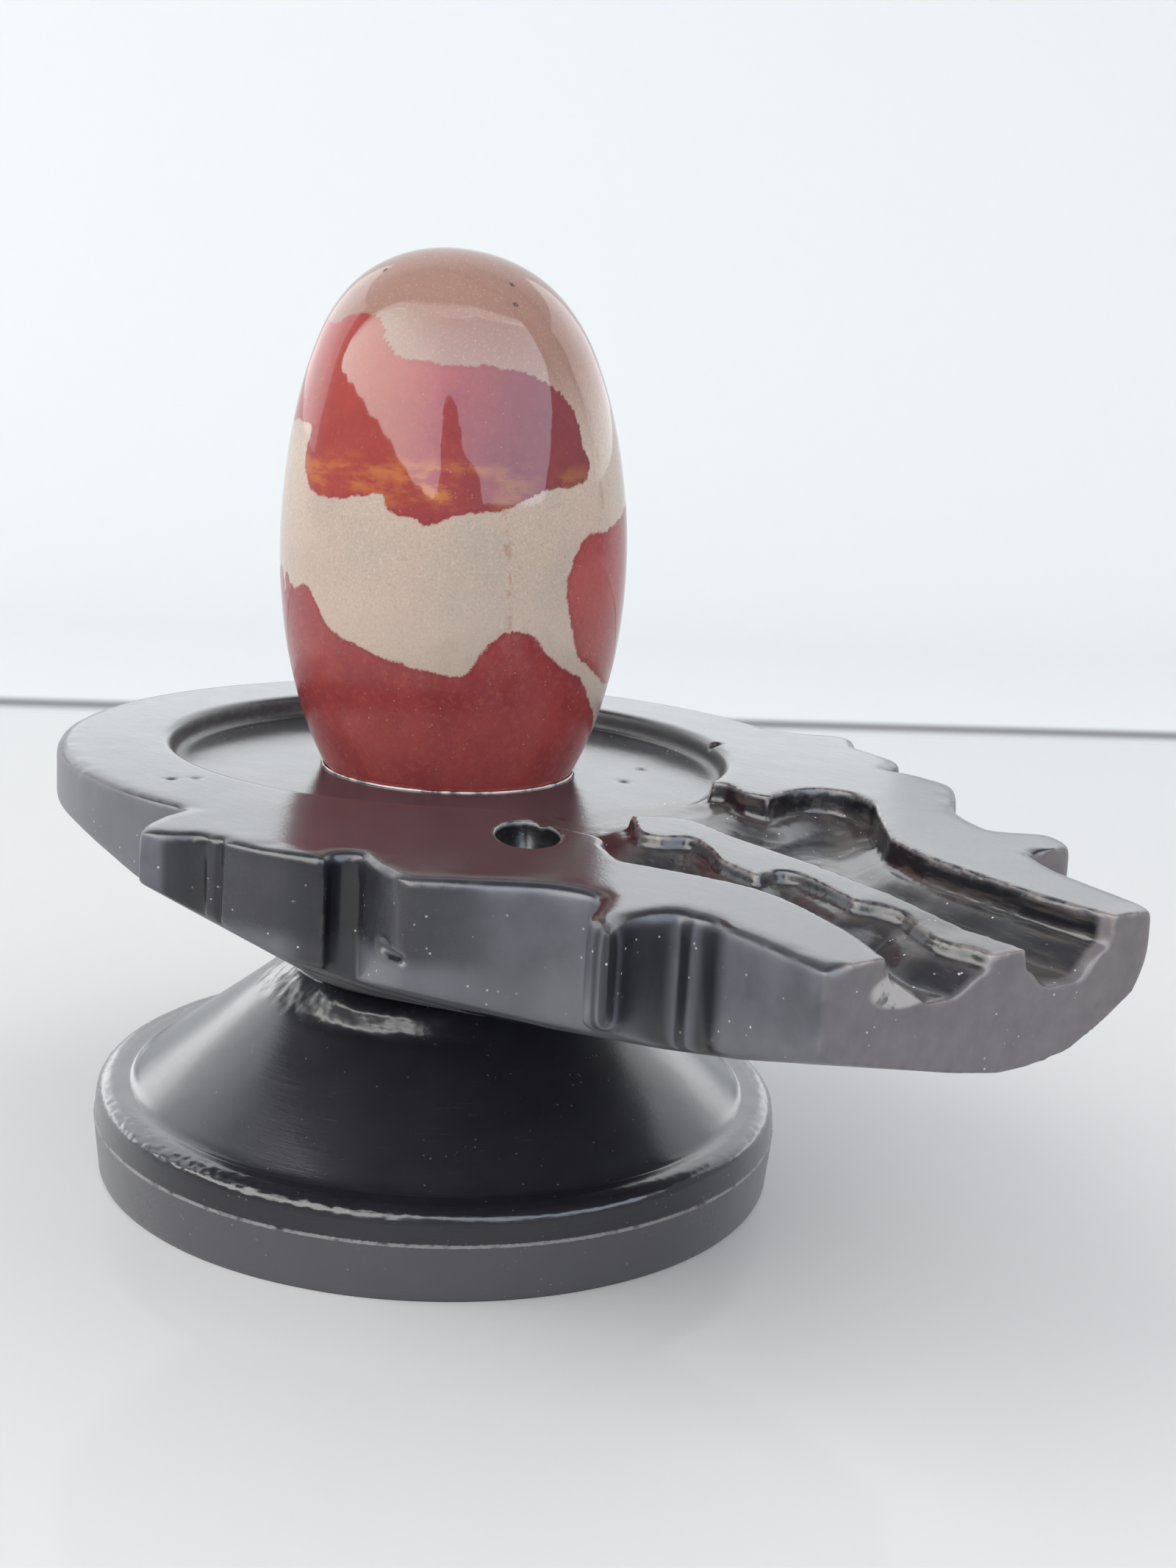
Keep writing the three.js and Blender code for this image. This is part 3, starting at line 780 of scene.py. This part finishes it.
plate = {
    "topZ": 55.5, "neckZ": 27, "neckRadius": 19.6,
    "disc": (0.92, -0.78, 48.85),
    "dish": (-0.22, -0.31), "dishDepth": 3,
    # the dish from its floor to the top: radius, height over the floor
    "dishWall": [(32.9, 0), (33.7, 0.05), (34.3, 0.22), (34.7, 0.5), (34.88, 0.95), (34.95, 1.5),
                 (35.05, 2.1), (35.25, 2.55), (35.6, 2.85), (36.1, 3.0), (36.4, 3.6)],
    "seatGap": 0.3,
    # the crescent pit, and bites left by the carving: place with its height from the top, half sizes, turn
    "pit": (42.7, -20.9), "pitSize": (5.9, 3.5, 7), "pitTurn": -35.5,
    "bites": [
        ((49.6, -42.4, -8.3), (3.8, 1.1, 0.5), -6), ((47.6, -42.3, -7.9), (1.4, 1, 0.7), -6),
        ((91.8, -27, -5.2), (0.9, 1.2, 2.2), 0), ((34.4, -47.3, 0.1), (1.9, 0.7, 0.5), 33),
        ((4.1, -42.2, 0), (0.75, 0.5, 0.4), 54), ((4.9, -39.6, 0), (0.6, 0.45, 0.35), 54),
        ((11.4, -33.3, 0), (0.5, 0.5, 0.3), 0), ((-38.7, -25.5, 0), (0.5, 0.4, 0.3), 0),
        ((16.8, 14.6, -3), (0.75, 0.6, 0.4), 0), ((11.9, 21.7, -3), (0.6, 0.5, 0.4), 0),
        ((14.1, 32.3, 0), (1.2, 1.0, 0.9), 60),
    ],
    # near-black bands across the near wall, partly bare polished stone and partly painted shade for the dark
    # it mirrors in front: where each begins, is full, still is full, and ends
    "bareAndShadedFlutes": [(24.9, 25.7, 28.1, 28.5), (29.2, 29.5, 30.1, 30.6), (36.5, 40, 41, 41.5),
               (70.6, 71.4, 71.6, 72.3), (72.2, 72.6, 73.4, 73.9), (73.8, 75, 76.4, 79)],
    "lip": (-16.6, 52.3), "endX": 91.9, "beadThickness": 0.15,
    "farEdge": [
        [(10.6, 48.1), (13.7, 50.5), (16.3, 53.4), (18.2, 53.8), (20, 53.2), (23.7, 49.8)],
        [(29, 48.9), (31.4, 48.5), (34.1, 46.9), (36, 42.9)],
        [(40, 43.9), (45.8, 43.4), (50.1, 39.4), (55, 33.6), (59.5, 30.9), (64.2, 28.9)],
        [(66.4, 31.4), (68.6, 33.5), (71.9, 32.5), (73.7, 30.9)],
        [(73.3, 24.4)],
        [(77.1, 22.3), (81.1, 20.6), (86.3, 19.5), (92.5, 18.1), (94.3, 17)],
    ],
    "nearEdge": [
        [(16.7, -47.3), (18.1, -50.6), (20.6, -54.2), (23.5, -56)],
        [(25.1, -54.6), (26.5, -53.1)],
        [(27, -51.6), (28.3, -50.9)],
        [(28.8, -51.2), (29.2, -50.9)],
        [(29.7, -49.7), (30.4, -50.5)],
        [(33.2, -49.5), (36.4, -48), (39.2, -46.3), (41.2, -44.8)],
        [(40, -43.4), (40.2, -41.8)],
        [(40.7, -41.4), (41.2, -40.6)],
        [(42.6, -41.2), (45, -41.8), (51, -42.4)],
        [(55.5, -36.8), (59.7, -31.1), (64.2, -28.9)],
        [(66.3, -31.5), (69.5, -34.6), (73.6, -35.4)],
        [(71.2, -30.6), (71.6, -27)],
        [(72.1, -25.4), (73.6, -25.7)],
        [(75.4, -24.7), (77.3, -25.5)],
        [(84, -25.9), (91.9, -26.6)],
    ],
    "bowlRings": [(49, 6.2), (47, 8.3), (44.6, 10.4), (41.8, 12.9), (36.1, 17)],
    "endNear": (91.9, -26.6), "endFar": (94.3, 17),
    "endDepths": [(-26.6, 8.5), (-17.6, 10.4), (-9.2, 12.5), (-3, 13.6), (1.3, 13.6), (6.5, 12.9),
                  (11.7, 10.4), (15.8, 8), (17.4, 4.2)],
    "keel": [(59, 28.6, 15), (69, 24, 15), (75, 19.4, 15), (83.4, 8.4, 14.8)],
    "lobes": [(22.8, -56, 5.6), (39, -48, 10.5), (51, -43.5, 10.8), (73.6, -36, 9.4), (18, 54.5, 5.6),
              (34.5, 48, 10.5), (46, 44.5, 10.8), (70, 34.5, 9.4)],
    # the hollow: x, depth of the steep wall's foot, depth of the floor
    "channelDepths": [(29, 2.6, 3), (36, 2.6, 3), (40, 3.1, 3.8), (46, 3.7, 4.8), (52, 3.5, 4.6),
                      (62, 3.1, 4.8), (94, 3.2, 5.9)],
    "grooveDepths": [(29, 2.4, 3), (36, 2.4, 3), (42, 1.7, 3.4), (52, 1.6, 3.9), (66, 1.6, 4.3),
                     (80, 1.5, 4.7), (94, 1.5, 5.1)],
    "tongueFall": (75, 93.5, 1.7),
    "recessSpan": (26, 99, -26, 31), "recessGrid": 0.28,
    "channelEdge": [
        [(29, 18), (31.9, 15.7)],
        [(33.7, 16.7), (37.9, 15.5), (40.8, 16.4)],
        [(39.6, 21.2), (40.2, 25.2), (43.3, 27.5), (48.3, 26.3), (52.6, 22.5), (61.5, 14.9)],
        [(69, 12.2), (78.8, 11.1), (88.5, 10.6), (98, 11.8)],
    ],
    "tongueBack": [[(40.8, -5), (43.2, -1.5), (46.5, -0.1), (53.4, -1), (65.1, -1.5), (76.4, -2.7),
                    (85.8, -2.5), (93, -1.2), (98, -0.6)]],
    "tongueFront": [
        [(40.8, -5), (42, -5.6), (47, -9), (49.8, -8.4), (51.5, -5.6), (56.6, -7.2), (60.5, -9.3),
         (66.4, -10.2)],
        [(66, -6.7), (68.1, -5.7), (72.4, -6.5), (77.6, -7.9)],
        [(79.6, -6.2), (82, -5.6), (84.6, -6.6), (87.4, -7.4), (89.6, -6.9), (91.4, -5.9), (98, -5.2)],
    ],
    "grooveEdge": [
        [(29, -19), (33, -17), (40, -16.5), (47, -15), (50, -17), (55.5, -19.3)],
        [(63.6, -15.7), (72.1, -13.8), (84.4, -16.5), (92.5, -19.9), (98, -22)],
    ],
    "voxel": 0.34, "mostTriangles": 185000,
}


def plateOutline():
    x, y, radius = plate["disc"]
    near, far = trace(plate["nearEdge"]), trace(plate["farEdge"])[::-1]
    start = math.atan2(far[-1][1] - y, far[-1][0] - x)
    end = math.atan2(near[0][1] - y, near[0][0] - x) + 2 * math.pi
    turn = [blend(start, end, i / 200) for i in range(1, 200)]
    return near + far + [np.array((x + radius * math.cos(a), y + radius * math.sin(a))) for a in turn]


def plateKeel():
    top, (x, y, _) = plate["topZ"], plate["disc"]
    corners = ringPoints(0, 0, plate["neckRadius"], plate["neckZ"])
    for radius, depth in plate["bowlRings"] + [(49, 0)]:
        corners += ringPoints(x, y, radius, top - depth)
    (nearX, nearY), (farX, farY) = plate["endNear"], plate["endFar"]
    for across, depth in plate["endDepths"]:
        along = nearX + (across - nearY) * (farX - nearX) / (farY - nearY)
        corners += [(along, across, top - depth), (along, across, top)]
    for x, y, depth in plate["keel"]:
        corners += [(x, y, top - depth), (x, -y, top - depth)]
    for x, y, depth in plate["lobes"]:
        corners += [(x, y, top - depth), (x, y, top)]
    return hull("keel", corners)


def recessOutlines():
    back, front = trace(plate["tongueBack"]), trace(plate["tongueFront"])
    start = [np.array((29, back[0][1]))]
    far, near = trace(plate["channelEdge"]), trace(plate["grooveEdge"])
    return {"channel": start + back + far[::-1], "groove": near + front[::-1] + start,
            "tongue": back + front[::-1], "back": back, "front": front, "far": far, "near": near}


def finer(line, step=0.25):
    fine = []
    for a, b in zip(line, line[1:]):
        count = max(1, math.ceil(np.linalg.norm(b - a) / step))
        fine += [a + (b - a) * i / count for i in range(count)]
    return fine + [line[-1]]


def depthsAlong(x, table):
    xs, foot, floor = np.array(table).T
    return np.interp(x, xs, foot), np.interp(x, xs, floor)


def recessDepth(x, y, lines):
    # how deep the hollow is, mm under the top, and below 0 outside it
    flat = np.column_stack([x, y])
    gap = {name: nearest(flat, finer(lines[name])) for name in ("back", "front", "far", "near")}
    held = {name: inside(x, y, lines[name]) for name in ("channel", "groove", "tongue")}
    low, high, fall = plate["tongueFall"]
    tongue = fall * ease(x, low, high) - 0.05
    wave = 0.15 * np.sin(0.55 * x + 0.4)
    foot, floor = depthsAlong(x, plate["channelDepths"])
    far = foot * ease(gap["far"], 0, 0.32) + (floor - foot) * ease(gap["far"] + wave, 0.7, 4.6)
    back = tongue + 2.2 * ease(gap["back"], 0, 0.4)
    back += np.maximum(floor - tongue - 2.2, 0) * ease(gap["back"], 0.4, 3.6)
    depth = np.where(held["channel"], np.minimum(far, back), -2 * np.minimum(gap["far"], gap["back"]))
    foot, floor = depthsAlong(x, plate["grooveDepths"])
    front = tongue + foot * ease(gap["front"], 0, 0.3)
    front += (floor - tongue - foot) * ease(gap["front"] + wave, 0.45, 5)
    near = 2.6 * ease(gap["near"], 0, 1.3) + (floor - 2.6) * ease(gap["near"], 1, 6)
    depth = np.where(held["groove"], np.minimum(front, near), depth)
    return np.where(held["tongue"], tongue, np.maximum(depth, -1.2))


def recessCutter(lines):
    # a block whose underside is the hollow's floor
    lowX, highX, lowY, highY = plate["recessSpan"]
    step = plate["recessGrid"]
    clear()
    bpy.ops.mesh.primitive_grid_add(
        x_subdivisions=round((highX - lowX) / step), y_subdivisions=round((highY - lowY) / step), size=1)
    piece = settle("hollowBlock")
    points = coordinates(piece) * mm
    points = points * (highX - lowX, highY - lowY, 1) + ((lowX + highX) / 2, (lowY + highY) / 2, 0)
    points[:, 2] = plate["topZ"] - recessDepth(points[:, 0], points[:, 1], lines)
    reshape(piece, points)
    with editMode():
        bpy.ops.mesh.extrude_region_move(TRANSFORM_OT_translate={"value": (0, 0, 8 * mm)})
    faceOutwards(piece)
    return piece


def makePlate():
    top = plate["topZ"]
    outline = plateOutline()
    piece = prism("carvedPlate", outline, plate["neckZ"] - 3, top)
    carve(piece, plateKeel(), "INTERSECT")
    dishX, dishY = plate["dish"]
    floor = top - plate["dishDepth"]
    carve(piece, turnUp("dish", [(dishX, dishY, r, floor + z) for r, z in plate["dishWall"]], 256))
    lines = recessOutlines()
    carve(piece, recessCutter(lines))
    low, gap = math.asin(share(stone["restZ"])), plate["seatGap"]
    seat = [stoneRing(math.sin(blend(low, 0, i / 40))) for i in range(31)]
    carve(piece, turnUp("seat", [(x, y, r + gap, z) for x, y, r, z in seat], 160))
    scoop(piece, (*plate["pit"], top), plate["pitSize"], plate["pitTurn"])
    for (x, y, level), size, turn in plate["bites"]:
        scoop(piece, (x, y, top + level), size, turn)
    print("plate is carved,", len(piece.data.polygons), "faces")

    applyModifier(piece, "REMESH", mode="VOXEL", voxel_size=plate["voxel"] * mm, adaptivity=0)
    points = coordinates(piece)
    x, y, z = points.T
    # the top rim is worn round, most in front of the pit, and the side walls are smoothest along the spout
    rimGap = nearest(points * (1, 1, 0), np.column_stack([outline, np.full(len(outline), 0)]))
    farTail = ease(x, 55, 65) * ease(y, -5, 5)
    wide = 2.4 * ease(x, 36, 44) * ease(x, 68, 60) * ease(y, -24, -30)
    soft = ease(rimGap / (1 + wide / 3.2), 3.2, 1.4)
    group(piece, "rim", soft * ease(z, top - 3.4, top - 1.8) * (1 - 0.7 * farTail))
    group(piece, "side", ease(rimGap, 2.2, 1.0) * (0.12 + 0.88 * ease(x, 52, 62)))
    # hollow is 1 on the carved walls and floor, and 0 on the top, the end face and the underside
    near = np.zeros(len(points), bool)
    for shape in ("channel", "groove", "tongue"):
        near |= inside(x, y, lines[shape])
    hollow = np.zeros(len(points))
    floorZ = top - recessDepth(x[near], y[near], lines)
    hollow[near] = ease(z[near], floorZ - 1.6, floorZ - 0.8) * ease(z[near], top - 0.15, top - 0.7)
    hollow *= ease(x, plate["endX"] + 0.8, plate["endX"])
    group(piece, "carvedOut", hollow * (np.hypot(x - dishX, y - dishY) > 34.5))
    for passes, where in ((3, ""), (55, "side"), (60, "rim")):
        applyModifier(piece, "SMOOTH", factor=0.5, iterations=passes, vertex_group=where)
    for size, strength, where, depth in ((7, 0.30, "carvedOut", 1), (1.2, 0.05, "carvedOut", 2),
                                         (4, 0.12, "rim", 2), (14, 0.10, "", 2)):
        roughen(piece, size, strength, where, depth)
    keep(piece, "swelling", swelling(piece, 2))
    keep(piece, "hollow", hollow)
    triangles = 2 * len(piece.data.polygons)
    applyModifier(piece, "DECIMATE", ratio=min(1, plate["mostTriangles"] / triangles))

    # a bead of old wax round the stone's foot
    x, y, radius, _ = stoneRing(share(floor + 0.1))
    clear()
    bpy.ops.mesh.primitive_torus_add(
        location=(x * mm, y * mm, (floor + 0.02) * mm), major_segments=180, minor_segments=10,
        major_radius=(radius + 0.2) * mm, minor_radius=plate["beadThickness"] * mm)
    bead = settle("bead")
    roughen(bead, 1.5, 0.16)
    keep(bead, "wax", np.ones(len(bead.data.vertices)))
    keep(piece, "wax", np.zeros(len(piece.data.vertices)))
    pick(piece)
    bead.select_set(True)
    bpy.ops.object.join()
    smooth(piece)
    return piece


def blackMaterial(name, turned):
    # waxed black stone: polished on top, satin where only ground, glossy and dusty where it is carved out
    g = Graph(name)
    swell = g.read("swelling")
    grain = g.noise(0.35, 3, 0.65)
    cloud = g.noise(7, 4, 0.6)
    patch = g.noise(2.2, 4, 0.6)
    x, y, height = (g.axis(i) * 1000 for i in range(3))
    black = g.mix(cloud, (0.009, 0.009, 0.0125), (0.018, 0.0178, 0.023))
    scratches = g.between(g.noise(0.5, 2, 0.6, stretch=(9, 9, 0.5) if turned else (10, 1, 1)), 0.60, 0.70)
    corner = g.between(swell, -0.004, -0.03) * 0.9
    if turned:
        marks = g.noise(1.0, 4, 0.7, stretch=(9, 9, 0.35))
        ground = g.between(height, 7.08, 6.95)
        # painted sheen: the shoulder and foot are painted grey on the sides turned away from the camera, in
        # place of their grazing reflection
        nearX, nearY = (f(math.radians(view["azimuth"])) for f in (math.cos, math.sin))
        towards = (x * nearX + y * nearY) / (g.fromMiddle(x, y) ** 0.5).most(1)
        paintedSideSheen = g.between(towards, 0.85, 0.3) * g.between(height, 11.6, 10.8)
        cone = g.between(height, 11.2, 12.2)
        line = height + (grain - 0.5) * 0.3
        edgeLine = g.between(line, 6.78, 6.92) * g.between(line, 7.3, 7.12) * g.between(patch, 0.30, 0.52)
        colour = g.paint(
            black,
            (ground, g.mix(cloud, (0.055, 0.055, 0.063), (0.068, 0.067, 0.075))),
            # painted sheen on the sides away from the camera
            (paintedSideSheen * 0.75, (0.125, 0.125, 0.132)),
            (scratches * cone * 0.035, (0.16, 0.15, 0.15)),
            (edgeLine * 0.75, (0.25, 0.24, 0.24)))
        roughness = 0.13 + ground * 0.12 + paintedSideSheen * 0.08 + cone * 0.10 + (grain - 0.5) * 0.08
        edgeWearAndHighlight = g.between(height, 1, 2) * 0.4
        places = 0.14 + corner
    else:
        marks = g.noise(1.2, 4, 0.7, stretch=(3, 1, 1))
        streaky = g.noise(1.3, 3, 0.6, stretch=(9, 1.6, 1))
        upward = g.facing(2)
        hollow, wax = g.read("hollow"), g.read("wax")
        steep, floor = hollow * g.between(upward, 0.85, 0.6), hollow * g.between(upward, 0.72, 0.95)
        pit = g.between(g.fromMiddle(x, y, plate["pit"]), 44, 38) * g.between(height, 55.2, 54.9)
        ground = g.between(upward, 0.75, 0.45) * (1 - hollow) * (1 - pit)
        waxed = g.between(upward, 0.9, 0.98) * (1 - hollow)
        # the upper near wall of the front lobes is kept near black and glossier: partly a polished finish,
        # partly painted shade for the dark it mirrors in front
        polishedAndShaded = g.between(x, 25, 27.5) * g.between(x, 62, 52) * g.between(y, -34, -38)
        polishedAndShaded = polishedAndShaded * g.between(upward, -0.5, -0.2) * g.between(height, 45.5, 48)
        matt = g.mix(g.between(cloud, 0.3, 0.7), (0.048, 0.049, 0.060), (0.084, 0.085, 0.101))
        # painted reflection: the ground walls are paler towards the left end and low down, where they would
        # mirror the bright table
        paintedPaleReflection = (g.between(x, 28, 10) * 0.5 + g.between(height, 50, 44) * 0.4).least(0.6)
        # near-black flute bands: bare polished stone with painted shade
        bareAndShadedFlutes = sum(g.between(x, a, b) * g.between(x, d, c) for a, b, c, d in plate["bareAndShadedFlutes"])
        bareAndShadedFlutes = (bareAndShadedFlutes * g.between(y, -22, -24) * ground).least(1)
        cut = g.between(x, plate["endX"] - 0.9, plate["endX"]) * (1 - hollow)
        cut = cut * (0.8 + g.between(y, -8, 14) * 0.2)
        notch = g.between(x, 72.3, 73) * g.between(x, 75, 74.3) * g.between(y, 23.6, 24.6) * ground
        away = g.fromMiddle(x, y, plate["dish"]) ** 0.5
        dishWall = g.between(away, 33.2, 34.2) * g.between(away, 36.4, 35.8) * g.between(height, 55.4, 55)
        dishWall = dishWall * (1 - hollow)
        lipY, lipZ = (v - middle for v, middle in zip((y, height), plate["lip"]))
        lip = g.between(lipY * lipY / 20 + lipZ * lipZ / 3.4, 1.2, 0.7) * g.between(x, 89.6, 91.2)
        colour = g.paint(
            black,
            (waxed, g.mix(cloud, (0.026, 0.026, 0.031), (0.038, 0.038, 0.043))),
            (ground * (1 - polishedAndShaded * 0.84), g.mix(paintedPaleReflection, matt, (0.13, 0.13, 0.145))),
            (bareAndShadedFlutes * 0.9, (0.006, 0.006, 0.009)),
            ((cut + notch).least(1), g.mix(patch, (0.064, 0.058, 0.064), (0.150, 0.136, 0.140))),
            (g.between(streaky, 0.5, 0.7) * hollow * 0.35, (0.10, 0.088, 0.084)),
            (scratches * hollow * 0.3, (0.12, 0.108, 0.104)),
            (floor * g.between(cloud, 0.36, 0.60) * 0.8,
             g.mix(patch, (0.030, 0.024, 0.022), (0.075, 0.064, 0.057))),
            ((dishWall * 0.8 + steep * 0.75).least(1),
             g.mix(g.between(streaky, 0.45, 0.65), (0.005, 0.005, 0.007), (0.045, 0.036, 0.033))),
            (lip * g.between(patch, 0.34, 0.50), (0.30, 0.29, 0.285)),
            (pit * 0.9, g.mix(g.between(streaky, 0.5, 0.7), (0.004, 0.004, 0.005), (0.03, 0.025, 0.024))))
        rough = ground * (1 - polishedAndShaded * 0.5) * 0.2 + cut * 0.08 + steep * streaky * 0.14
        roughness = 0.16 + rough + floor * 0.05 + pit * 0.08 + dishWall * 0.1 + (grain - 0.5) * 0.07
        edgeWearAndHighlight = g.between(height, 52.5, 54) * 0.6 + 0.12
        dishFloor = g.between(away, 22, 33) * g.between(height, 53.2, 52.9)
        places = 0.01 + floor * 0.6 + dishFloor * 0.8 + corner * (1 - ground)
    # convex edges painted paler: partly real wear, partly a painted highlight on the rounded rims
    wornAndHighlitEdge = g.between(swell, 0.010, 0.035) * g.between(patch, 0.40, 0.60)
    dusty = g.between(g.cells(1.1), 0.15, 0.07) * g.between(g.noise(2.6, 2), 0.50, 0.62)
    dust = dusty * places.least(1)
    colour = g.paint(colour, (wornAndHighlitEdge * edgeWearAndHighlight, (0.23, 0.195, 0.18)), (dust, (0.55, 0.53, 0.50)))
    if not turned:
        colour = g.mix(wax * g.between(patch, 0.34, 0.54), colour, (0.52, 0.49, 0.46))
    bump = g.bump(marks, 0.05, 0.35, g.bump(grain, 0.02, 0.5))
    return g.finish(Base_Color=colour, Roughness=roughness + (cloud - 0.5) * 0.08, Normal=bump, IOR=1.6)


turnedPedestal = makePedestal()
turnedPedestal.data.materials.append(blackMaterial("waxedBlackStoneTurned", True))
print("pedestal is made,", len(turnedPedestal.data.polygons), "faces")
carvedPlate = makePlate()
carvedPlate.data.materials.append(blackMaterial("waxedBlackStoneCarved", False))
print("plate is made,", len(carvedPlate.data.polygons), "faces")

setNames = ("blackPieces", "allPieces", "stoneOnly", "pedestalOnly")
sets = {name: bpy.data.collections.new(name) for name in setNames}
for piece, node, slot, own in (
    (polishedStone, "stone", "red_stone", ("stoneOnly",)),
    (turnedPedestal, "pedestal", "black_stone", ("blackPieces", "pedestalOnly")),
    (carvedPlate, "yoni_plate", "black_stone", ("blackPieces",)),
):
    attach(piece, "root")
    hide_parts(node)
    for name in ("allPieces", *own):
        sets[name].objects.link(piece)

# each sheet of light shows on its own set of pieces
glowPanel("window", sets["blackPieces"], "plain")
for name, own in (
    ("window", "stoneOnly"), ("backGlow", "blackPieces"), ("backLow", "blackPieces"),
    ("lowLeft", "pedestalOnly"), ("lowRight", "pedestalOnly"),
    ("backLeft", "allPieces"), ("backRight", "allPieces"),
):
    glowPanel(name, sets[own])
